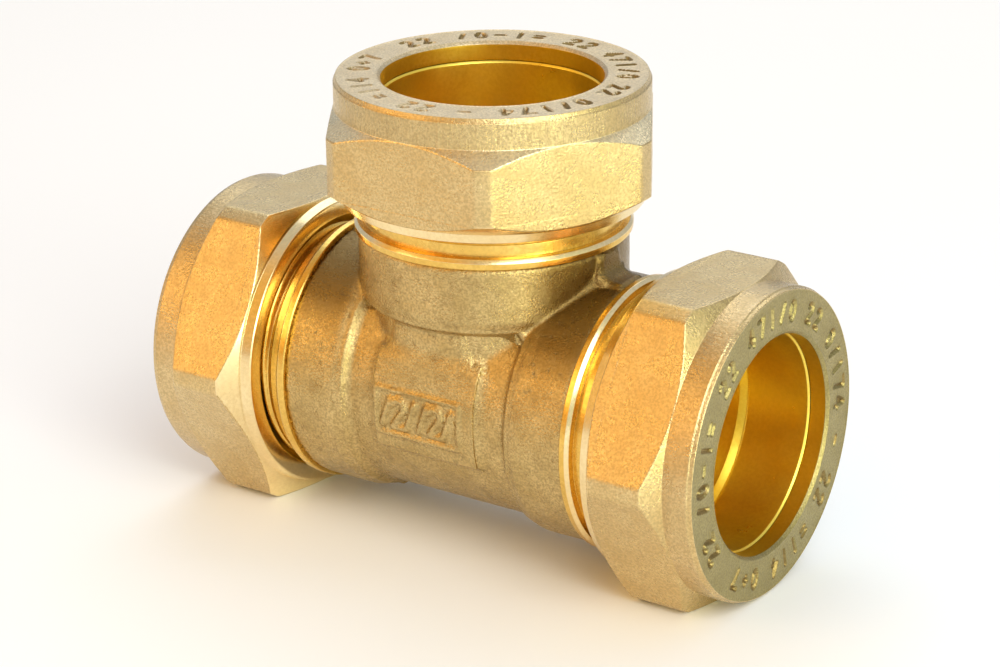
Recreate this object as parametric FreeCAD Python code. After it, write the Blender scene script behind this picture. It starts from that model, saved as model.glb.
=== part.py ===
import FreeCAD, Part
import os
import math

# Equal compression tee for 22 mm copper tube, in millimetres.
# Frame: origin on the resting plane, under the point where the three port axes
# cross; +X along the run, +Z along the branch, -Y towards the marked side.
# s is the distance from the crossing point outwards along a port's axis.

V = FreeCAD.Vector

# ---- driving dimensions -------------------------------------------------
TUBE_OD = 22.0            # tube that the fitting is made for

# port bores
SOCKET_R = 11.10          # tube socket
STOP_S = 10.6             # tube stop
WATERWAY_R = 10.0         # bore past the stop
MOUTH_S = 22.7            # start of the tapered mouth
END_S = 24.5              # end face of the threaded nose
MOUTH_SLOPE = 0.45        # radial growth per axial mm in the mouth
NOSE_R = 12.40            # outer radius of the end face

# thread, nominally G 3/4
PITCH = 1.814
MALE_R = 13.10            # crest of the body's thread
MALE_ROOT_R = 12.00
FEMALE_R = 12.25          # crest of the nut's thread
FEMALE_ROOT_R = 13.40
CREST_W = 0.35            # axial width of a crest
NECK_R = 13.20            # plain neck between shoulder and thread
NECK_END_S = 19.2

# machined shoulder
SHOULDER_R = 14.20
SHOULDER_IN_S = 17.0
SHOULDER_OUT_S = 18.0
SHOULDER_CHAMFER = 0.25

# forged body
BARREL_R = 13.80          # the three outer barrels
BARREL_IN_S = 10.1        # where a barrel steps down
STEP_LEN = 0.9            # axial length of that step
CENTRE_R = 12.75          # run between the steps
WAIST_R = 12.40           # branch between its step and the run
FLASH_HALF = 2.05         # half width of the trimmed parting band
FLASH_R = 14.05           # height of the band from a port axis
PAD_X0, PAD_X1 = -5.8, 6.2
PAD_Z0, PAD_Z1 = -4.3, 6.6
PAD_R = 13.35             # face of the marking pad, curved about the run axis

# nut
NUT_FACE_S = 32.9         # outer face, nut run on by hand
NUT_LEN = 12.75
NUT_AF = 32.0             # across flats
NUT_CORNER_R = 18.0       # corners turned to this radius
COLLAR_R = 15.95
COLLAR_LEN = 3.15
CORNER_IN_U = 4.5         # hexagon at full corner radius between these, from the face
CORNER_OUT_U = 10.3
RING_U = 11.7
RING_R = 15.85
BACK_R = 15.45
NUT_BORE_R = 11.20
WEB = 2.0                 # thickness of the nut's end web
SEAT_R0 = 11.45           # cone that presses the olive
SEAT_R1 = FEMALE_R
SEAT_U1 = 3.6
THREAD_IN_U = 6.3         # nut thread runs from here to the back chamfer
BACK_CHAMFER_R = 14.3
BRANCH_NUT_TURN = 31.0    # direction of one flat's normal on the branch nut, degrees from +X

# olive
OLIVE_BORE_R = 11.05
OLIVE_R = 11.85
OLIVE_IN_S = 23.6
OLIVE_OUT_S = 30.82
OLIVE_IN_R = 11.28        # outer radius at the body end
OLIVE_OUT_R = 11.35       # outer radius at the nut end


def lathe(points):
    """Solid of revolution about Z from a closed list of (r, z)."""
    wire = Part.makePolygon([V(r, 0, z) for r, z in points] + [V(points[0][0], 0, points[0][1])])
    solid = Part.Face(wire).revolve(V(0, 0, 0), V(0, 0, 1), 360)
    if solid.ShapeType != "Solid":
        solid = solid.Solids[0]
    if solid.Volume < 0:
        solid.reverse()
    return solid


def cylinder(r, z0, z1):
    return Part.makeCylinder(r, z1 - z0, V(0, 0, z0))


def helix_tool(r_in, w_in, r_out, w_out, z0, z1, phase):
    """Right-hand helical solid of trapezoid section whose centre passes (angle 0, z = phase + k pitch)."""
    start = phase + math.floor((z0 - phase) / PITCH) * PITCH
    turns = (z1 - start) / PITCH
    spine = Part.makeHelix(PITCH, turns * PITCH, 0.5 * (r_in + r_out))
    spine.translate(V(0, 0, start))
    profile = Part.makePolygon([
        V(r_in, 0, start - w_in / 2), V(r_out, 0, start - w_out / 2),
        V(r_out, 0, start + w_out / 2), V(r_in, 0, start + w_in / 2),
        V(r_in, 0, start - w_in / 2)])
    solid = Part.Wire(spine.Edges).makePipeShell([profile], True, True)
    solid = solid if solid.ShapeType == "Solid" else Part.Solid(solid.Shells[0])
    if solid.Volume < 0:
        solid.reverse()
    return solid


def along(shape, port):
    """Turn a shape built about +Z onto a port's axis."""
    s = shape.copy()
    if port == "right":
        s.rotate(V(0, 0, 0), V(0, 1, 0), 90)
    elif port == "left":
        s.rotate(V(0, 0, 0), V(0, 1, 0), -90)
    return s


# ---- body ---------------------------------------------------------------
def outer_end(r_inner):
    """Barrel, machined shoulder, neck and thread blank of one port, solid."""
    pts = [(0, 0), (r_inner, 0), (r_inner, BARREL_IN_S - STEP_LEN),
           (BARREL_R - 0.25, BARREL_IN_S), (BARREL_R, BARREL_IN_S + 0.55),
           (BARREL_R, SHOULDER_IN_S),
           (SHOULDER_R, SHOULDER_IN_S),
           (SHOULDER_R, SHOULDER_OUT_S - SHOULDER_CHAMFER),
           (SHOULDER_R - SHOULDER_CHAMFER, SHOULDER_OUT_S),
           (NECK_R, SHOULDER_OUT_S), (NECK_R, NECK_END_S),
           (MALE_R, NECK_END_S + 0.1),
           (MALE_R, END_S - (MALE_R - NOSE_R)), (NOSE_R, END_S), (0, END_S)]
    return lathe(pts)


def port_bore():
    """Everything bored out of one port, from the centre to past the end face."""
    mouth_r = SOCKET_R + MOUTH_SLOPE * (END_S - MOUTH_S)
    return lathe([(0, 0), (WATERWAY_R, 0), (WATERWAY_R, STOP_S - 0.4),
                  (WATERWAY_R + 0.4, STOP_S), (SOCKET_R, STOP_S),
                  (SOCKET_R, MOUTH_S), (mouth_r, END_S), (mouth_r, END_S + 1), (0, END_S + 1)])


def tee_body():
    run = {p: along(outer_end(CENTRE_R), p) for p in ("right", "left")}
    branch = outer_end(WAIST_R)
    body = run["right"].fuse([run["left"], branch])
    # trimmed parting band round the forging, in the plane of the three axes
    band_run = Part.makeBox(2 * (SHOULDER_IN_S - 0.3), 2 * FLASH_HALF, FLASH_R + CENTRE_R + 0.3,
                            V(-(SHOULDER_IN_S - 0.3), -FLASH_HALF, -(CENTRE_R + 0.3)))
    keep = Part.makeBox(2 * (SHOULDER_IN_S - 0.3), 2 * FLASH_HALF, CENTRE_R + 0.3,
                        V(-(SHOULDER_IN_S - 0.3), -FLASH_HALF, -(CENTRE_R + 0.3)))
    side = Part.makeBox(2 * FLASH_R, 2 * FLASH_HALF, SHOULDER_IN_S - 0.3, V(-FLASH_R, -FLASH_HALF, 0))
    tops = [Part.makeBox(SHOULDER_IN_S - 0.3 - BARREL_IN_S, 2 * FLASH_HALF, FLASH_R,
                         V(x, -FLASH_HALF, 0)) for x in (BARREL_IN_S, -(SHOULDER_IN_S - 0.3))]
    soles = [Part.makeBox(SHOULDER_IN_S - 0.3 - BARREL_IN_S, 2 * FLASH_HALF, FLASH_R,
                          V(x, -FLASH_HALF, -FLASH_R)) for x in (BARREL_IN_S, -(SHOULDER_IN_S - 0.3))]
    body = body.fuse([keep, side] + tops + soles)
    # marking pad on the front of the run
    pad = Part.makeCylinder(PAD_R, PAD_X1 - PAD_X0, V(PAD_X0, 0, 0), V(1, 0, 0))
    pad = pad.common(Part.makeBox(PAD_X1 - PAD_X0, PAD_R, PAD_Z1 - PAD_Z0, V(PAD_X0, -PAD_R, PAD_Z0)))
    body = body.fuse(pad)
    for p in ("right", "left", "branch"):
        body = body.cut(along(port_bore(), p))
    # threads
    half = PITCH / 2
    slope = (PITCH - 2 * CREST_W) / (MALE_R - MALE_ROOT_R) * 0.915
    w_root = PITCH - CREST_W - slope * (MALE_R - MALE_ROOT_R)
    groove = helix_tool(MALE_ROOT_R, w_root, MALE_R + 0.2, w_root + slope * (MALE_R + 0.2 - MALE_ROOT_R),
                        NECK_END_S + PITCH, END_S + 1.6, 0.0)
    for p in ("right", "left", "branch"):
        body = body.cut(along(groove, p))
    body = body.removeSplitter()
    return body.Solids[0] if len(body.Solids) == 1 else body


# ---- nut ----------------------------------------------------------------
def nut(turn):
    """Nut about +Z in its place on the branch, one flat's normal at turn degrees from +X.

    It is made with that normal on +X and turned at the end, so its thread starts
    earlier by the same part of a pitch and stays in mesh with the body's.
    """
    f = NUT_FACE_S

    def z(u):
        return f - u

    back = NUT_LEN
    outside = lathe([(0, z(0)), (15.70, z(0)), (COLLAR_R, z(0.45)), (COLLAR_R, z(COLLAR_LEN)),
                     (NUT_CORNER_R, z(CORNER_IN_U)), (NUT_CORNER_R, z(CORNER_OUT_U)),
                     (RING_R, z(RING_U)), (BACK_R, z(back - 0.15)), (BACK_R - 0.15, z(back)), (0, z(back))])
    k = 2 / math.sqrt(3) * NUT_AF / 2
    hexagon = Part.makePolygon([V(k * math.cos(math.radians(30 + 60 * i)),
                                  k * math.sin(math.radians(30 + 60 * i)), z(back) - 1) for i in range(7)])
    prism = Part.Face(hexagon).extrude(V(0, 0, back - COLLAR_LEN + 1))
    collar = cylinder(COLLAR_R + 1, z(COLLAR_LEN), z(0) + 1)
    blank = outside.common(prism.fuse(collar))
    shell_r = FEMALE_ROOT_R + 0.45
    u0, u1 = SEAT_U1, back - 0.9
    inside = lathe([(0, z(0) + 1), (NUT_BORE_R + 0.3, z(0) + 1), (NUT_BORE_R + 0.3, z(0)),
                    (NUT_BORE_R, z(0.3)), (NUT_BORE_R, z(WEB)), (SEAT_R0, z(WEB)), (SEAT_R1, z(u0)),
                    (shell_r, z(u0)), (shell_r, z(u1)), (FEMALE_ROOT_R + 0.05, z(u1)),
                    (BACK_CHAMFER_R, z(back)), (BACK_CHAMFER_R, z(back) - 1), (0, z(back) - 1)])
    blank = blank.cut(inside)
    slope = (PITCH - 2 * CREST_W) / (FEMALE_ROOT_R - FEMALE_R) * 0.86
    w_root = PITCH - CREST_W - slope * (FEMALE_ROOT_R - FEMALE_R)
    groove = helix_tool(FEMALE_R - 0.15, w_root + slope * (FEMALE_ROOT_R - FEMALE_R + 0.15), FEMALE_ROOT_R, w_root,
                        z(back) - PITCH, z(THREAD_IN_U), PITCH / 2 - PITCH * turn / 360)
    threaded = cylinder(shell_r, z(u1), z(u0)).cut(groove).cut(cylinder(FEMALE_R, z(u1) - 1, z(u0) + 1))
    made = blank.fuse(threaded).removeSplitter()
    made.rotate(V(0, 0, 0), V(0, 0, 1), turn)
    return made.Solids[0] if len(made.Solids) == 1 else made


def olive():
    b = OLIVE_BORE_R
    s0, s1 = OLIVE_IN_S, OLIVE_OUT_S
    return lathe([(b, s0), (OLIVE_IN_R, s0), (OLIVE_R, s0 + (OLIVE_R - OLIVE_IN_R) / MOUTH_SLOPE),
                  (OLIVE_R, s1 - (OLIVE_R - OLIVE_OUT_R) / MOUTH_SLOPE), (OLIVE_OUT_R, s1), (b, s1)])


parts = {"tee_body": tee_body()}
run_nut = nut(0.0)
parts["run_nut_right"] = along(run_nut, "right")
parts["run_nut_left"] = along(run_nut, "left")
parts["branch_nut"] = nut(BRANCH_NUT_TURN)
ring = olive()
parts["olive_right"] = along(ring, "right")
parts["olive_left"] = along(ring, "left")
parts["olive_branch"] = ring

os.makedirs("parts", exist_ok=True)
REST_H = NUT_AF / 2       # the run nuts stand on their flats
for name, shape in parts.items():
    shape.translate(V(0, 0, REST_H))
    print(name, shape.ShapeType, "solids", len(shape.Solids), "valid", shape.isValid(),
          "volume", round(shape.Volume, 1), "box", [round(x, 2) for x in (shape.BoundBox.XMin, shape.BoundBox.XMax,
          shape.BoundBox.YMin, shape.BoundBox.YMax, shape.BoundBox.ZMin, shape.BoundBox.ZMax)])
    shape.exportStep(os.path.join("parts", name + ".step"))
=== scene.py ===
import math
import bpy
import numpy as np
from mathutils import Matrix, Vector


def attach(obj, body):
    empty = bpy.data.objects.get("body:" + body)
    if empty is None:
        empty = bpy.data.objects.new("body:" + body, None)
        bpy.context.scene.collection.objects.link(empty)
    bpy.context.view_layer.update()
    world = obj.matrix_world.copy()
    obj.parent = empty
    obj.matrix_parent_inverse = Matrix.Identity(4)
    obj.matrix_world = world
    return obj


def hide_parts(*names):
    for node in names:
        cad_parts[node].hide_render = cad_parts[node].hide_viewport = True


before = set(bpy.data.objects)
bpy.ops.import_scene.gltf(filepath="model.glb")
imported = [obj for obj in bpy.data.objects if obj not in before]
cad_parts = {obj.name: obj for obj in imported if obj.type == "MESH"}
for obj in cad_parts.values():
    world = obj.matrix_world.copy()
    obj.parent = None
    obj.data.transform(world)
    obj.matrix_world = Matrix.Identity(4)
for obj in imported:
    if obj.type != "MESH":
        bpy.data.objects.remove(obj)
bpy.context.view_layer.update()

H = 16.0          # height of the run's axis above the resting plane, mm
PITCH = 1.814


# ---------------------------------------------------------------- small maths
def smooth(a, b, x):
    t = np.clip((np.asarray(x, float) - a) / (b - a), 0, 1)
    return t * t * (3 - 2 * t)


def smin(a, b, k):
    h = np.clip(0.5 + 0.5 * (b - a) / k, 0, 1)
    return b + (a - b) * h - k * h * (1 - h)


def smax(a, b, k):
    return -smin(-a, -b, k)


def hash3(i, j, k, seed):
    n = (i * 374761393 + j * 668265263 + k * 2147483647 + seed * 1274126177) & 0xFFFFFFFF
    n = ((n ^ (n >> 13)) * 1274126177) & 0xFFFFFFFF
    n = (n ^ (n >> 16)) & 0xFFFFFFFF
    return n.astype(float) / 4294967295.0


def noise(P, size, seed=0):
    """Smooth value noise in -1..1 with cells of the given size."""
    q = P / size
    b = np.floor(q).astype(np.int64)
    f = q - b
    f = f * f * (3 - 2 * f)
    out = np.zeros(len(P))
    for dx in (0, 1):
        for dy in (0, 1):
            for dz in (0, 1):
                w = (f[:, 0] if dx else 1 - f[:, 0]) * (f[:, 1] if dy else 1 - f[:, 1]) * (f[:, 2] if dz else 1 - f[:, 2])
                out += w * hash3(b[:, 0] + dx, b[:, 1] + dy, b[:, 2] + dz, seed)
    return out * 2 - 1


def fractal(P, size, seed=0, n=3):
    s, a, t = 0, 1.0, 0
    for i in range(n):
        s = s + a * noise(P, size / 2 ** i, seed + i * 7)
        t += a
        a *= 0.55
    return s / t


# ---------------------------------------------------------------- glyphs for stamped marks
def arc(cx, cy, rx, ry, a0, a1, n=6):
    return [(cx + rx * math.cos(math.radians(a0 + (a1 - a0) * i / n)), cy + ry * math.sin(math.radians(a0 + (a1 - a0) * i / n))) for i in range(n + 1)]


GLYPH = {
    "2": [arc(0, 0.45, 0.42, 0.42, 165, -35) + [(-0.45, -0.85)], [(-0.45, -0.85), (0.48, -0.85)]],
    "|": [[(0, -0.8), (0, 0.8)]],
    "-": [[(-0.38, 0), (0.38, 0)]],
    "/": [[(-0.3, -0.8), (0.3, 0.8)]],
    "o": [arc(0, 0, 0.36, 0.36, 0, 360, 10)],
    "^": [[(-0.4, -0.5), (0, 0.55)], [(0, 0.55), (0.4, -0.5)]],
    "=": [[(-0.38, 0.32), (0.38, 0.32)], [(-0.38, -0.32), (0.38, -0.32)]],
    "7": [[(-0.42, 0.85), (0.44, 0.85), (-0.12, -0.85)]],
    "4": [[(0.22, -0.85), (0.22, 0.85), (-0.48, -0.3), (0.48, -0.3)]],
    "0": [arc(0, 0, 0.40, 0.85, 0, 360, 14)],
    "+": [[(-0.36, 0), (0.36, 0)], [(0, -0.42), (0, 0.42)]],
}


def glyph_dist(x, y, ch):
    d = np.full(x.shape, 9.0)
    for line in GLYPH[ch]:
        for (x0, y0), (x1, y1) in zip(line[:-1], line[1:]):
            dx, dy = x1 - x0, y1 - y0
            t = np.clip(((x - x0) * dx + (y - y0) * dy) / (dx * dx + dy * dy), 0, 1)
            d = np.minimum(d, np.hypot(x - x0 - t * dx, y - y0 - t * dy))
    return d


def ring_marks(theta, r, text, r_mid, height, start_deg, step_deg, width):
    """0..1, 1 in the bottom of a stroke, for marks set round a ring, tops outwards."""
    m = np.zeros(theta.shape)
    s = height / 1.7
    for i, ch in enumerate(text):
        if ch == " ":
            continue
        a = math.radians(start_deg - i * step_deg)
        da = (theta - a + math.pi) % (2 * math.pi) - math.pi
        near = np.abs(da) * r_mid < height
        if not near.any():
            continue
        x = -da[near] * r_mid / s
        y = (r[near] - r_mid) / s
        d = glyph_dist(x, y, ch) * s
        m[near] = np.maximum(m[near], 1 - smooth(width * 0.45, width * 0.95, d))
    return m


# ---------------------------------------------------------------- turned shapes
def rounded(points, seg=4):
    """Closed or open (r, u) polyline with a corner radius on each point: (r, u, radius)."""
    out = []
    n = len(points)
    for i, (r, u, rad) in enumerate(points):
        p = np.array([r, u], float)
        a = np.array(points[i - 1][:2], float) - p
        b = np.array(points[(i + 1) % n][:2], float) - p
        la, lb = np.linalg.norm(a), np.linalg.norm(b)
        if rad <= 0 or la < 1e-9 or lb < 1e-9:
            out.append((p, i))
            continue
        a, b = a / la, b / lb
        ang = math.acos(max(-1, min(1, float(a @ b))))
        cut = min(rad / math.tan(ang / 2) if ang > 1e-3 else rad, 0.45 * la, 0.45 * lb)
        p0, p1 = p + a * cut, p + b * cut
        for k in range(seg + 1):
            t = k / seg
            out.append(((1 - t) ** 2 * p0 + 2 * t * (1 - t) * p + t * t * p1, i))
    return out


def resample(pts, step_of):
    """Adds points on long runs; step_of(r, u) is the longest step there. Keeps the tag of the run's first point."""
    out = []
    n = len(pts)
    for i in range(n):
        (p, tag), (q, _) = pts[i], pts[(i + 1) % n]
        d = float(np.linalg.norm(q - p))
        if d < 1e-7:
            continue
        k = max(1, int(math.ceil(d / step_of(*((p + q) / 2)))))
        for j in range(k):
            out.append((*(p + (q - p) * j / k), tag))
    return out


PORT = {
    "branch": Matrix(((1, 0, 0), (0, 1, 0), (0, 0, 1))),
    "right": Matrix(((0, 0, 1), (0, 1, 0), (-1, 0, 0))),
    "left": Matrix(((0, 0, -1), (0, 1, 0), (1, 0, 0))),
}


def grid_object(name, P, n_ring, n_theta, port, face_mat, mats):
    """P is (n_ring, n_theta, 3) in mm about the port's own axis; closed both ways."""
    R = np.array(PORT[port])
    Q = P.reshape(-1, 3) @ R.T
    Q[:, 2] += H
    me = bpy.data.meshes.new(name)
    i = np.arange(n_ring)
    j = np.arange(n_theta)
    I, J = np.meshgrid(i, j, indexing="ij")
    I2, J2 = (I + 1) % n_ring, (J + 1) % n_theta
    F = np.stack([I * n_theta + J, I * n_theta + J2, I2 * n_theta + J2, I2 * n_theta + J], -1).reshape(-1, 4)
    me.vertices.add(len(Q))
    me.vertices.foreach_set("co", (Q * 0.001).astype(np.float32).ravel())
    me.loops.add(F.size)
    me.loops.foreach_set("vertex_index", F.astype(np.int32).ravel())
    me.polygons.add(len(F))
    me.polygons.foreach_set("loop_start", np.arange(0, F.size, 4, dtype=np.int32))
    for m in mats:
        me.materials.append(m)
    face_mat = np.asarray(face_mat, np.int32)
    if face_mat.ndim == 1:
        face_mat = np.repeat(face_mat, n_theta)
    me.polygons.foreach_set("material_index", face_mat.ravel())
    me.polygons.foreach_set("use_smooth", np.ones(len(F), bool))
    me.update(calc_edges=True)
    me.validate()
    vol = 0.0
    tri = Q[F[:, [0, 1, 2]]], Q[F[:, [0, 2, 3]]]
    for t in tri:
        vol += float(np.einsum("ij,ij->i", t[0 if False else slice(None)][:, 0], np.cross(t[:, 1], t[:, 2])).sum()) / 6
    if vol < 0:
        me.flip_normals()
    ob = bpy.data.objects.new(name, me)
    bpy.context.scene.collection.objects.link(ob)
    return ob


# ---------------------------------------------------------------- materials
def brass(name, tint, tint2, rough, rough_var=0.05, grain=0.16, grain_h=0.010, pit=0.0, streak=None,
          mottle=3.0, stain=0.0, stain_col=(0.20, 0.12, 0.05), contrast=0.22, painted_corner_shade=0.0):
    """Brass: tint and tint2 mottled over a few mm, grain (mm) as blasted relief of grain_h mm,
    pits and stains for the forging, streak=(axis scale) for turning lines."""
    m = bpy.data.materials.new(name)
    m.use_nodes = True
    nt = m.node_tree
    nt.nodes.clear()
    N, L = nt.nodes.new, nt.links.new
    out = N("ShaderNodeOutputMaterial")
    bs = N("ShaderNodeBsdfPrincipled")
    L(bs.outputs[0], out.inputs[0])
    bs.inputs["Metallic"].default_value = 1.0
    bs.inputs["Specular Tint"].default_value = (1, 1, 1, 1)
    tc = N("ShaderNodeTexCoord")
    mp = N("ShaderNodeMapping")
    mp.inputs["Scale"].default_value = (1000, 1000, 1000)
    L(tc.outputs["Object"], mp.inputs["Vector"])
    co = mp.outputs[0]

    def tex(scale, detail=3.0, rgh=0.55, src=None):
        n = N("ShaderNodeTexNoise")
        n.inputs["Scale"].default_value = scale
        n.inputs["Detail"].default_value = detail
        n.inputs["Roughness"].default_value = rgh
        L(src or co, n.inputs["Vector"])
        return n.outputs["Fac"]

    def ramp(fac, a, b, lo=0.0, hi=1.0):
        r = N("ShaderNodeMapRange")
        r.inputs["From Min"].default_value = a
        r.inputs["From Max"].default_value = b
        r.inputs["To Min"].default_value = lo
        r.inputs["To Max"].default_value = hi
        L(fac, r.inputs["Value"])
        return r.outputs[0]

    def mix(fac, c1, c2, mode="MIX"):
        x = N("ShaderNodeMix")
        x.data_type = "RGBA"
        x.blend_type = mode
        L(fac, x.inputs["Factor"])
        for sock, c in ((x.inputs[6], c1), (x.inputs[7], c2)):
            if isinstance(c, tuple):
                sock.default_value = (*c, 1)
            else:
                L(c, sock)
        return x.outputs[2]

    col = mix(ramp(tex(1.0 / mottle, 4), 0.35, 0.65), tint, tint2)
    # a finer mottling, so that the grain also shows in the colour
    fine = ramp(tex(1.0 / (grain * 1.25), 2), 0.38, 0.62)
    dark = tuple(c * (1 - contrast) for c in tint2)
    col = mix(ramp(fine, 0, 1, 0.75, 0.0), col, dark)
    if stain > 0:
        s = ramp(tex(0.42, 6, 0.7), 0.52, 0.72, 0.0, stain)
        col = mix(s, col, stain_col)
    if painted_corner_shade > 0:
        # painted shade in the corners between the branch and the run: a darkening set by position only, which also
        # stands in for the nuts' dark reflection there
        sp = N("ShaderNodeSeparateXYZ")
        L(co, sp.inputs[0])
        ab = N("ShaderNodeMath")
        ab.operation = "ABSOLUTE"
        L(sp.outputs[0], ab.inputs[0])
        m1 = ramp(ab.outputs[0], 9.9, 11.9)
        m2 = ramp(sp.outputs[2], H + 6.5, H + 9.5)
        m3 = ramp(sp.outputs[2], H + 19.0, H + 17.0)
        mm = m1
        for other in (m2, m3):
            mu = N("ShaderNodeMath")
            mu.operation = "MULTIPLY"
            L(mm, mu.inputs[0])
            L(other, mu.inputs[1])
            mm = mu.outputs[0]
        col = mix(ramp(mm, 0, 1, 0.0, painted_corner_shade), col, (0.20, 0.125, 0.035))
    rgh = ramp(tex(1.0 / (mottle * 0.6), 4), 0.3, 0.7, rough - rough_var, rough + rough_var)
    h = None
    g = tex(1.0 / grain, 3, 0.6)
    b1 = N("ShaderNodeBump")
    b1.inputs["Strength"].default_value = 1.0
    b1.inputs["Distance"].default_value = grain_h * 0.001
    L(g, b1.inputs["Height"])
    last = b1
    if streak is not None:
        mp2 = N("ShaderNodeMapping")
        mp2.inputs["Scale"].default_value = streak[0]
        L(co, mp2.inputs["Vector"])
        w = tex(1.0, 3, 0.6, src=mp2.outputs[0])
        b2 = N("ShaderNodeBump")
        b2.inputs["Strength"].default_value = 1.0
        b2.inputs["Distance"].default_value = streak[1] * 0.001
        L(w, b2.inputs["Height"])
        L(b1.outputs[0], b2.inputs["Normal"])
        last = b2
    if pit > 0:
        v = tex(0.9, 5, 0.75)
        p = ramp(v, 0.60, 0.70, 0.0, pit)
        col = mix(p, col, (0.16, 0.10, 0.045))
        b3 = N("ShaderNodeBump")
        b3.inputs["Strength"].default_value = 1.0
        b3.inputs["Distance"].default_value = 0.00005
        b3.invert = True
        L(p, b3.inputs["Height"])
        L(last.outputs[0], b3.inputs["Normal"])
        last = b3
    L(col, bs.inputs["Base Color"])
    L(rgh, bs.inputs["Roughness"])
    L(last.outputs[0], bs.inputs["Normal"])
    return m


BLAST = dict(rough=0.28, rough_var=0.05, grain=0.20, mottle=4.0, stain=0.22, stain_col=(0.50, 0.33, 0.13), contrast=0.27)
M_NUT = brass("nut_blasted", (0.78, 0.60, 0.30), (0.71, 0.52, 0.235), grain_h=0.070, **BLAST)
# the branch nut's cone gets a brighter copy of the nut colour than the run nuts' cones: painted light
M_CONE_BRANCH_PAINTED_LIGHT = brass("nut_cone_branch_painted_light", (1.0, 0.85, 0.52), (0.93, 0.76, 0.44), grain_h=0.070, pit=0.35, **BLAST)
M_COLLAR_Z = brass("collar_branch", (0.72, 0.56, 0.28), (0.63, 0.47, 0.22), grain_h=0.050, streak=((5.0, 5.0, 0.22), 0.12), **BLAST)
M_COLLAR_X = brass("collar_run", (0.77, 0.59, 0.31), (0.68, 0.50, 0.24), grain_h=0.070, streak=((0.35, 4.0, 4.0), 0.035), **BLAST)
# the branch nut's face, turned up to the light, gets a lighter copy of the face colour and the run nuts' faces a much
# darker one: painted light and painted shade
M_FACE_BRANCH_PAINTED_LIGHT = brass("nut_face_branch_painted_light", (0.80, 0.655, 0.41), (0.71, 0.56, 0.33), 0.38, 0.06, grain=0.18, contrast=0.30, grain_h=0.060, mottle=2.5,
               stain=0.30, stain_col=(0.50, 0.38, 0.20))
M_FACE_RUN_PAINTED_SHADE = brass("nut_face_run_painted_shade", (0.47, 0.385, 0.165), (0.39, 0.315, 0.125), 0.34, 0.06, grain=0.18, contrast=0.30, grain_h=0.065, mottle=2.5,
                 stain=0.30, stain_col=(0.34, 0.27, 0.12))
# the bottoms of the stamped marks get a darker brass than the face: painted shade in the recesses
M_STAMP_PAINTED_SHADE = brass("stamped_recess_painted_shade", (0.42, 0.30, 0.12), (0.30, 0.21, 0.08), 0.42, 0.05, grain=0.15, grain_h=0.030, mottle=1.5)
M_TURN = brass("turned_bright", (0.97, 0.80, 0.47), (0.93, 0.73, 0.38), 0.20, 0.04, grain=0.30, grain_h=0.0045, mottle=5.0, contrast=0.08,
               stain=0.15, stain_col=(0.80, 0.50, 0.16))
M_AMBER = brass("turned_amber", (0.90, 0.62, 0.17), (0.82, 0.52, 0.12), 0.25, 0.05, grain=0.30, grain_h=0.007, mottle=3.0, contrast=0.12,
                stain=0.30, stain_col=(0.55, 0.31, 0.08))
M_BORE = brass("bored_satin", (0.98, 0.73, 0.11), (0.94, 0.66, 0.08), 0.32, 0.04, grain=0.3, grain_h=0.006, mottle=6.0, contrast=0.06)
# the forging gets painted shade in the crotch between branch and run (painted_corner_shade)
M_BODY = brass("forged_matte", (0.71, 0.53, 0.24), (0.57, 0.41, 0.165), 0.27, 0.06, grain=0.19, grain_h=0.090, pit=0.50, mottle=3.2,
               stain=0.65, stain_col=(0.34, 0.23, 0.09), contrast=0.34, painted_corner_shade=0.88)
M_OLIVE = brass("olive_turned", (1.0, 0.77, 0.13), (0.97, 0.71, 0.11), 0.31, 0.04, grain=0.3, grain_h=0.005, mottle=5.0, contrast=0.06)


# ---------------------------------------------------------------- nuts
TEXT = "22 0/|74 - 22 =||4 0+7  22 /0-|= 22 47|/0 "


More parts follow.
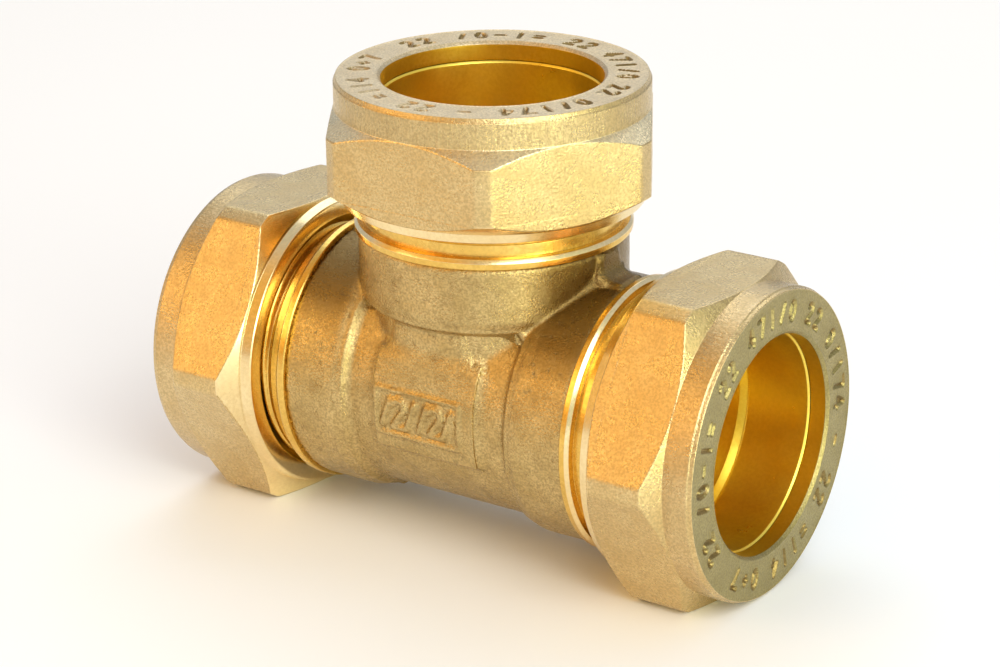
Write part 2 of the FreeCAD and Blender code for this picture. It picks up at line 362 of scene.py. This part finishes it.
def make_nut(name, port, turn, seed, text_start):
    f = 32.9
    pts = [
        (11.55, 0.0, 0.10), (15.72, 0.0, 0.10), (15.84, 0.38, 0.08), (15.97, 0.52, 0.08),
        (15.97, 3.12, 0.10), (17.99, 4.5, 0.25), (17.99, 10.25, 0.15), (15.95, 11.62, 0.10),
        (15.72, 11.72, 0.05), (15.45, 12.66, 0.08), (15.30, 12.75, 0.05),
        (13.74, 12.75, 0.08), (13.43, 12.47, 0.05), (13.40, 12.42, 0.0),
        (13.40, 4.9, 0.0), (12.25, 4.4, 0.05), (12.25, 3.6, 0.05), (11.45, 2.02, 0.05), (11.22, 2.0, 0.05), (11.22, 0.32, 0.06)]

    def step(r, u):
        if u < 0.02 and r > 11.5:
            return 0.115
        if r > 15.2:
            if 0.6 < u < 3.0:
                return 0.35
            if 4.6 < u < 10.2:
                return 0.32
            return 0.11
        if r > 12.4 and u < 12.4:
            return 0.15
        return 0.4

    prof = resample(rounded(pts), step)
    n = 640
    r = np.array([p[0] for p in prof])[:, None] * np.ones((1, n))
    u = np.array([p[1] for p in prof])[:, None] * np.ones((1, n))
    tag = np.array([p[2] for p in prof])
    th = np.linspace(0, 2 * math.pi, n, endpoint=False)[None, :] * np.ones_like(r)
    # hexagon, rounded slightly where it meets the turned surfaces
    outer = ((tag >= 4) & (tag <= 8))[:, None]
    phi = (th - math.radians(turn) + math.pi / 6) % (math.pi / 3) - math.pi / 6
    hexr = 16.0 / np.cos(phi)
    flat = outer & (hexr < r)
    r = np.where(outer, np.minimum(smin(r, hexr, 0.12), r), r)
    # internal thread
    thr = (tag == 13)[:, None]
    s = f - u
    t = (s - PITCH / 2 - PITCH * th / (2 * math.pi)) / PITCH
    t = np.abs(t - np.round(t)) * PITCH
    groove = 13.40 - np.clip((t - 0.25) / (0.73 - 0.25), 0, 1) * (13.40 - 12.25)
    fade = smooth(6.6, 5.6, u)
    groove = groove * (1 - fade) + 12.25 * fade
    r = np.where(thr, np.minimum(groove, 13.40), r)
    # stamped marks on the face
    face = (tag == 0)[:, None] & (r > 11.6) & (r < 15.65)
    mk = ring_marks(th, r, TEXT, 13.55, 1.85, text_start, 8.6, 0.30)
    lip = ring_marks(th, r, TEXT, 13.55, 1.85, text_start, 8.6, 0.62) - mk
    u = u + np.where(face, 0.30 * mk + 0.05 - 0.045 * np.clip(lip, 0, 1), 0)
    # soft unevenness of the forging on the outside
    P = np.stack([r * np.cos(th), r * np.sin(th), s], -1)
    fl = P.reshape(-1, 3)
    k = (outer & (u < 10.4)).reshape(-1) | ((tag == 3)[:, None] & outer.any()).repeat(n, 1).reshape(-1)
    nz = np.zeros(len(fl))
    nz[k] = 0.016 * fractal(fl[k], 2.6, seed, 2) + 0.006 * noise(fl[k], 0.75, seed + 50)
    d = nz.reshape(r.shape) - np.where(k.reshape(r.shape), 0.022, 0)
    rr = r + d
    P = np.stack([rr * np.cos(th), rr * np.sin(th), f - u], -1)
    mat = np.zeros(len(prof), int)
    for q, tg in enumerate(tag):
        if tg in (0, 19):
            mat[q] = 1
        elif tg == 4:
            mat[q] = 6
        elif tg in (1, 2, 5):
            mat[q] = 0
        elif tg == 3:
            mat[q] = 5
        elif tg in (6, 7, 8, 9, 10):
            mat[q] = 2
        else:
            mat[q] = 3
    fm = np.repeat(mat[:, None], n, 1)
    fm[flat & (tag >= 4)[:, None]] = 0
    # stroke bottoms take the darker stamp material, painted shade
    fm[(mk > 0.45) & face] = 4
    ob = grid_object(name, P, len(prof), n, port, fm,
                     [M_NUT, M_FACE_BRANCH_PAINTED_LIGHT if port == "branch" else M_FACE_RUN_PAINTED_SHADE, M_TURN, M_BORE, M_STAMP_PAINTED_SHADE,
                      M_COLLAR_Z if port == "branch" else M_COLLAR_X, M_CONE_BRANCH_PAINTED_LIGHT if port == "branch" else M_NUT])
    return ob


def place(ob, body, node):
    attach(ob, body)
    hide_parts(node)


for name, port, turn, seed, start in (("run_nut_right_visual", "right", 0.0, 11, 150.0),
                                      ("run_nut_left_visual", "left", 0.0, 23, 60.0),
                                      ("branch_nut_visual", "branch", 31.0, 37, 10.0)):
    ob = make_nut(name, port, turn, seed, start)
    node = name[:-7]
    place(ob, node, node)


# ---------------------------------------------------------------- olives
def lathe_object(name, port, pts, step, n, mats, mat_of, warp=None):
    prof = resample(rounded(pts), step)
    th = np.linspace(0, 2 * math.pi, n, endpoint=False)[None, :] * np.ones((len(prof), 1))
    r = np.array([p[0] for p in prof])[:, None] * np.ones((1, n))
    s = np.array([p[1] for p in prof])[:, None] * np.ones((1, n))
    tag = np.array([p[2] for p in prof])
    if warp is not None:
        r, s = warp(r, s, th, tag)
    P = np.stack([r * np.cos(th), r * np.sin(th), s], -1)
    return grid_object(name, P, len(prof), n, port, [mat_of(t) for t in tag], mats)


def olive_step(r, s):
    return 0.5


for port in ("right", "left", "branch"):
    pts = [(11.28, 23.6, 0.08), (11.86, 24.86, 0.25), (11.86, 29.7, 0.25), (11.36, 30.82, 0.10),
           (11.22, 30.82, 0.06), (11.06, 30.62, 0.10), (11.06, 23.85, 0.10), (11.2, 23.6, 0.06)]
    ob = lathe_object("olive_%s_visual" % port, port, pts, olive_step, 256, [M_OLIVE], lambda t: 0)
    place(ob, "olive_" + port, "olive_" + port)


# ---------------------------------------------------------------- machined ends of the body
def end_warp(r, s, th, tag):
    thr = (tag == 7)[:, None]
    t = (s - PITCH * th / (2 * math.pi)) / PITCH
    t = np.abs(t - np.round(t)) * PITCH
    g = 12.0 + np.clip((t - 0.222) / (0.732 - 0.222), 0, 1) * 1.1
    fade = smooth(19.5, 20.2, s)
    g = 13.1 + (g - 13.1) * fade
    g = np.minimum(g, np.where(s > 23.8, 13.1 - (s - 23.8), 13.1))
    r = np.where(thr, g, r)
    return r, s


def end_step(r, s):
    if r > 11.95 and s > 19.25:
        return 0.13
    return 0.45


for port in ("right", "left", "branch"):
    pts = [(11.1, 16.9, 0.0), (14.05, 16.9, 0.05), (14.16, 17.02, 0.06), (14.2, 17.62, 0.08), (13.90, 18.0, 0.06),
           (13.2, 18.0, 0.05), (13.2, 19.2, 0.05), (13.1, 19.3, 0.0), (12.40, 24.5, 0.0), (11.92, 24.5, 0.03), (11.1, 22.7, 0.05)]
    # the thread's run is straight down to its start of chamfer, then follows it
    pts[8:8] = [(13.1, 23.8, 0.0)]
    prof_tag = {7: "thread", 8: "thread"}
    ob = lathe_object("port_end_" + port, port, pts, end_step, 400, [M_TURN, M_BORE, M_AMBER],
                      lambda t: 1 if t >= 10 else (0 if t in (3, 9) else 2),
                      warp=lambda r, s, th, tag: end_warp(r, s, th, np.where(tag == 8, 7, tag)))
    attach(ob, "tee_body")


# ---------------------------------------------------------------- forged middle of the body
def profile_r(a, inner):
    """Radius of a forged port at distance a from the crossing point."""
    return inner + (13.52 - inner) * smooth(9.35, 10.15, a) + (13.8 - 13.52) * smooth(10.2, 11.3, a)


def body_sdf(P):
    x, y, z = P[:, 0], P[:, 1], P[:, 2]
    run = np.hypot(y, z) - profile_r(np.abs(x), 12.75)
    run = smax(run, np.abs(x) - 17.0, 0.05)
    br = np.hypot(x, y) - profile_r(z, 12.40)
    br = smax(smax(br, z - 17.0, 0.05), -z, 0.5)
    k = 0.28 + 2.0 * np.exp(-(y / 3.4) ** 2)
    d = smin(run, br, k)
    # trimmed parting band
    ay = np.abs(y) - 2.1
    side = smax(smax(np.abs(x) - 14.08, ay, 0.14), smax(-z, z - 16.7, 0.1), 0.2)
    top = 13.02 + (14.08 - 13.02) * smooth(9.3, 11.0, np.abs(x))
    sole = smax(smax(np.abs(z) - top, ay, 0.14), np.abs(x) - 16.7, 0.1)
    d = smin(d, smin(side, sole, 1.8), 0.14)
    # marking pad: upright under the branch, then following the run, and its relief
    front = smooth(-4.0, -6.0, y)
    ax = np.abs(x)
    zq = np.where(z > 0, 0.42 * z, z)
    pad = np.hypot(y, zq) - (13.33 - smooth(1.5, 8.0, z) * (x * x / 36.0 + 0.22) - smooth(5.2, 7.8, z) * (x * x / 42.0 + 0.12))
    crown = 6.5 + 3.6 * smooth(5.3, 3.6, ax)
    win = smax(smax(-5.95 - x, x - 6.25, 0.1), smax(-4.25 - z, z - crown, 0.1), 0.1)
    pad = smax(smax(pad, win, 0.06), y, 0.2)
    d = smin(d, pad, 0.05 + 0.9 * smooth(6.0, 8.5, z) * smooth(5.4, 3.8, ax))
    bx = np.abs(x + 0.5) - 5.0
    bz = np.abs(z) - 2.45
    frame_d = np.abs(smax(bx, bz, 0.3))
    rel = 0.26 * (1 - smooth(0.12, 0.32, frame_d))
    for i, ch in enumerate("/2//2/"):
        gx = (x + 0.5 + 3.75 - i * 1.5) / 1.55
        gz = z / 1.75
        near = (np.abs(gx) < 0.9) & (np.abs(gz) < 1.2) & (y < 0)
        g = np.full(len(x), 9.0)
        g[near] = glyph_dist(gx[near] * 0.95, gz[near], ch)
        rel = np.maximum(rel, 0.40 * (1 - smooth(0.11, 0.26, g)))
    d = d - rel * front
    # ragged edge where the turned shoulder runs out into the forging
    end = np.maximum(np.abs(x), z)
    wob = 0.10 * np.sin(3.1 * y + 1.7 * x) * np.sin(2.3 * z + 0.9 * y) + 0.05 * np.sin(7.7 * y + 5.1 * z + 4.3 * x)
    d = d + 0.10 * smooth(16.58, 16.76, end + wob)
    return d


def body_grad(P, e=0.01):
    g = np.zeros_like(P)
    for a in range(3):
        h = np.zeros(3)
        h[a] = e
        g[:, a] = (body_sdf(P + h) - body_sdf(P - h)) / (2 * e)
    return g


def simple_cylinder(r, s0, s1, port, seg=96, taper=None):
    th = np.linspace(0, 2 * math.pi, seg, endpoint=False)
    co = [np.stack([r * np.cos(th), r * np.sin(th), np.full(seg, s)], -1) for s in (s0, s1)]
    V = np.concatenate(co) @ np.array(PORT[port]).T
    faces = [[i, (i + 1) % seg, seg + (i + 1) % seg, seg + i] for i in range(seg)]
    faces += [list(range(seg))[::-1], list(range(seg, 2 * seg))]
    return V, faces


def mesh_object(name, V, faces):
    me = bpy.data.meshes.new(name)
    me.from_pydata([tuple(v) for v in V], [], faces)
    me.validate()
    ob = bpy.data.objects.new(name, me)
    bpy.context.scene.collection.objects.link(ob)
    return ob


def apply_all(ob):
    dg = bpy.context.evaluated_depsgraph_get()
    me = bpy.data.meshes.new_from_object(ob.evaluated_get(dg))
    ob.modifiers.clear()
    ob.data = me


# rough union in units of mm, remeshed, then drawn onto the exact surface
parts = [simple_cylinder(13.7, -17.0, 17.0, "right"), simple_cylinder(13.6, 0.0, 17.0, "branch")]
V, faces, off = [], [], 0
for v, fc in parts:
    V += [tuple(p) for p in v]
    faces += [[i + off for i in q] for q in fc]
    off += len(v)
forging = mesh_object("forged_body", V, faces)
mod = forging.modifiers.new("r", "REMESH")
mod.mode = "VOXEL"
mod.voxel_size = 0.24
apply_all(forging)
me = forging.data
co = np.zeros(len(me.vertices) * 3, np.float32)
me.vertices.foreach_get("co", co)
P = co.reshape(-1, 3).astype(float)
for it in range(7):
    d = body_sdf(P)
    g = body_grad(P)
    g2 = np.maximum((g * g).sum(1), 0.2)
    P = P - (np.clip(d, -0.35, 0.35) / g2)[:, None] * g
# relax along the surface once, so that the remesh's steps disappear
ed = np.zeros(len(me.edges) * 2, np.int32)
me.edges.foreach_get("vertices", ed)
ed = ed.reshape(-1, 2)
for it in range(3):
    acc = np.zeros_like(P)
    cnt = np.zeros(len(P))
    np.add.at(acc, ed[:, 0], P[ed[:, 1]])
    np.add.at(acc, ed[:, 1], P[ed[:, 0]])
    np.add.at(cnt, ed[:, 0], 1)
    np.add.at(cnt, ed[:, 1], 1)
    Q = acc / np.maximum(cnt, 1)[:, None]
    P = P + 0.5 * (Q - P)
    for k in range(2):
        d = body_sdf(P)
        g = body_grad(P)
        g2 = np.maximum((g * g).sum(1), 0.2)
        P = P - (np.clip(d, -0.3, 0.3) / g2)[:, None] * g
# shallow unevenness of the forging
g = body_grad(P)
nrm = g / np.maximum(np.linalg.norm(g, axis=1), 1e-6)[:, None]
away = smooth(16.9, 16.4, np.maximum(np.abs(P[:, 0]), P[:, 2]))
amp = 0.030 * fractal(P, 3.2, 5, 2) + 0.012 * noise(P, 0.8, 91) - 0.012
pits = np.clip(noise(P, 0.42, 133) - 0.62, 0, 1) * 0.10 * smooth(0.1, 0.5, noise(P, 4.0, 77))
P = P + nrm * ((amp - pits) * away)[:, None]
me.vertices.foreach_set("co", P.astype(np.float32).ravel())
me.update()


def cutter(name, pts, port, seg=200):
    th = np.linspace(0, 2 * math.pi, seg, endpoint=False)
    rings = [np.stack([r * np.cos(th), r * np.sin(th), np.full(seg, s)], -1) for r, s in pts]
    V = np.concatenate(rings) @ np.array(PORT[port]).T
    fc = []
    for k in range(len(pts) - 1):
        fc += [[k * seg + i, k * seg + (i + 1) % seg, (k + 1) * seg + (i + 1) % seg, (k + 1) * seg + i] for i in range(seg)]
    m = (len(pts) - 1) * seg
    fc += [list(range(seg))[::-1], list(range(m, m + seg))]
    return mesh_object(name, V, fc)


full = [(11.1, -18.0), (11.1, -10.6), (10.4, -10.55), (10.0, -10.2), (10.0, 10.2), (10.4, 10.55), (11.1, 10.6), (11.1, 18.0)]
half = [(10.0, 0.0), (10.0, 10.2), (10.4, 10.55), (11.1, 10.6), (11.1, 18.0)]
cuts = [cutter("cut_run", full, "right"), cutter("cut_branch", half, "branch")]
for c in cuts:
    mod = forging.modifiers.new("b", "BOOLEAN")
    mod.operation = "DIFFERENCE"
    mod.solver = "MANIFOLD" if "MANIFOLD" in [i.identifier for i in mod.bl_rna.properties["solver"].enum_items] else "EXACT"
    mod.object = c
    apply_all(forging)
for c in cuts:
    bpy.data.objects.remove(c)
me = forging.data
me.materials.clear()
me.materials.append(M_BODY)
me.materials.append(M_BORE)
cen = np.zeros(len(me.polygons) * 3, np.float32)
me.polygons.foreach_get("center", cen)
cen = cen.reshape(-1, 3)
inrun = np.hypot(cen[:, 1], cen[:, 2]) < 11.35
inbr = (np.hypot(cen[:, 0], cen[:, 1]) < 11.35) & (cen[:, 2] > 0)
me.polygons.foreach_set("material_index", (inrun | inbr).astype(np.int32))
me.polygons.foreach_set("use_smooth", np.ones(len(me.polygons), bool))
me.set_sharp_from_angle(angle=math.radians(50))
me.transform(Matrix.Translation((0, 0, H)))
me.transform(Matrix.Scale(0.001, 4))
me.update()
print("forging", len(me.vertices), "vertices")
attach(forging, "tee_body")
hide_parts("tee_body")


# ---------------------------------------------------------------- stage, light, camera
def plain(name, col, rough):
    m = bpy.data.materials.new(name)
    m.use_nodes = True
    nt = m.node_tree
    b = nt.nodes["Principled BSDF"]
    b.inputs["Roughness"].default_value = rough
    n = nt.nodes.new("ShaderNodeTexNoise")
    n.inputs["Scale"].default_value = 40
    mx = nt.nodes.new("ShaderNodeMix")
    mx.data_type = "RGBA"
    mx.inputs[6].default_value = (*col, 1)
    mx.inputs[7].default_value = (*[c * 0.985 for c in col], 1)
    nt.links.new(n.outputs["Fac"], mx.inputs["Factor"])
    nt.links.new(mx.outputs[2], b.inputs["Base Color"])
    return m


V = [(-1.5, -1.5, 0), (1.5, -1.5, 0), (1.5, 1.5, 0), (-1.5, 1.5, 0)]
floor = mesh_object("floor", V, [[0, 1, 2, 3]])
floor.data.materials.append(plain("paper", (0.925, 0.957, 1.0), 0.7))


def area(name, pos, target, size, power, col):
    l = bpy.data.lights.new(name, "AREA")
    l.shape = "RECTANGLE"
    l.size, l.size_y = size
    l.energy = power
    l.color = col
    o = bpy.data.objects.new(name, l)
    o.location = pos
    o.rotation_euler = (Vector(target) - Vector(pos)).to_track_quat("-Z", "Y").to_euler()
    bpy.context.scene.collection.objects.link(o)
    return o


C0 = (0, 0, 0.02)
area("key_right", (0.43, -0.13, 0.075), C0, (0.16, 0.10), 0.60, (0.94, 1.0, 0.64))
area("soft_right", (0.34, -0.22, 0.34), C0, (0.30, 0.30), 1.30, (0.97, 0.98, 1.0))
area("top_back", (-0.15, 0.30, 0.42), C0, (0.45, 0.35), 0.75, (0.93, 0.96, 1.0))
area("front_left", (-0.30, -0.38, 0.26), C0, (0.30, 0.24), 0.45, (1.0, 0.70, 0.42))

w = bpy.data.worlds.new("studio")
w.use_nodes = True
wt = w.node_tree
bg = wt.nodes["Background"]
bg.inputs["Strength"].default_value = 1.0
wc = wt.nodes.new("ShaderNodeTexCoord")


def lobe(previous, direction, lo, hi, colour):
    """Blends the sky towards colour round a direction, from lo to hi of its cosine."""
    d = wt.nodes.new("ShaderNodeVectorMath")
    d.operation = "DOT_PRODUCT"
    d.inputs[1].default_value = Vector(direction).normalized()
    wt.links.new(wc.outputs["Generated"], d.inputs[0])
    r = wt.nodes.new("ShaderNodeMapRange")
    r.interpolation_type = "SMOOTHSTEP"
    r.inputs["From Min"].default_value = lo
    r.inputs["From Max"].default_value = hi
    wt.links.new(d.outputs["Value"], r.inputs["Value"])
    x = wt.nodes.new("ShaderNodeMix")
    x.data_type = "RGBA"
    wt.links.new(r.outputs[0], x.inputs["Factor"])
    if isinstance(previous, tuple):
        x.inputs[6].default_value = (*previous, 1)
    else:
        wt.links.new(previous, x.inputs[6])
    x.inputs[7].default_value = (*colour, 1)
    return x.outputs[2]


sky = lobe((0.60, 0.613, 0.655), (0.95, -0.10, 0.20), 0.55, 0.97, (0.86, 0.92, 0.70))
sky = lobe(sky, (-0.525, -0.712, 0.487), 0.55, 0.93, (0.91, 0.525, 0.12))
sky = lobe(sky, (-0.525, 0.769, 0.364), 0.40, 0.95, (0.50, 0.54, 0.62))
wt.links.new(sky, bg.inputs["Color"])
bpy.context.scene.world = w
bpy.context.scene.view_settings.view_transform = "Standard"
bpy.context.scene.view_settings.look = "None"

az, el, roll = math.radians(34.325), math.radians(21.32), math.radians(-0.594)
back = Vector((math.sin(az) * math.cos(el), -math.cos(az) * math.cos(el), math.sin(el)))
F = -back
right = F.cross(Vector((0, 0, 1))).normalized()
up = right.cross(F)
Rv = math.cos(roll) * right + math.sin(roll) * up
Uv = -math.sin(roll) * right + math.cos(roll) * up
pos = -(Rv * -0.443 + Uv * -4.561 + F * 316.439)
cam = bpy.data.cameras.new("camera")
cam.sensor_width = 36.0
cam.sensor_fit = "HORIZONTAL"
cam.lens = 109.907
cam.clip_start = 0.01
cam.clip_end = 20
co = bpy.data.objects.new("camera", cam)
m = Matrix((Rv, Uv, -F)).transposed().to_4x4()
m.translation = Vector((pos.x, pos.y, pos.z + H)) * 0.001
co.matrix_world = m
bpy.context.scene.collection.objects.link(co)
bpy.context.scene.camera = co
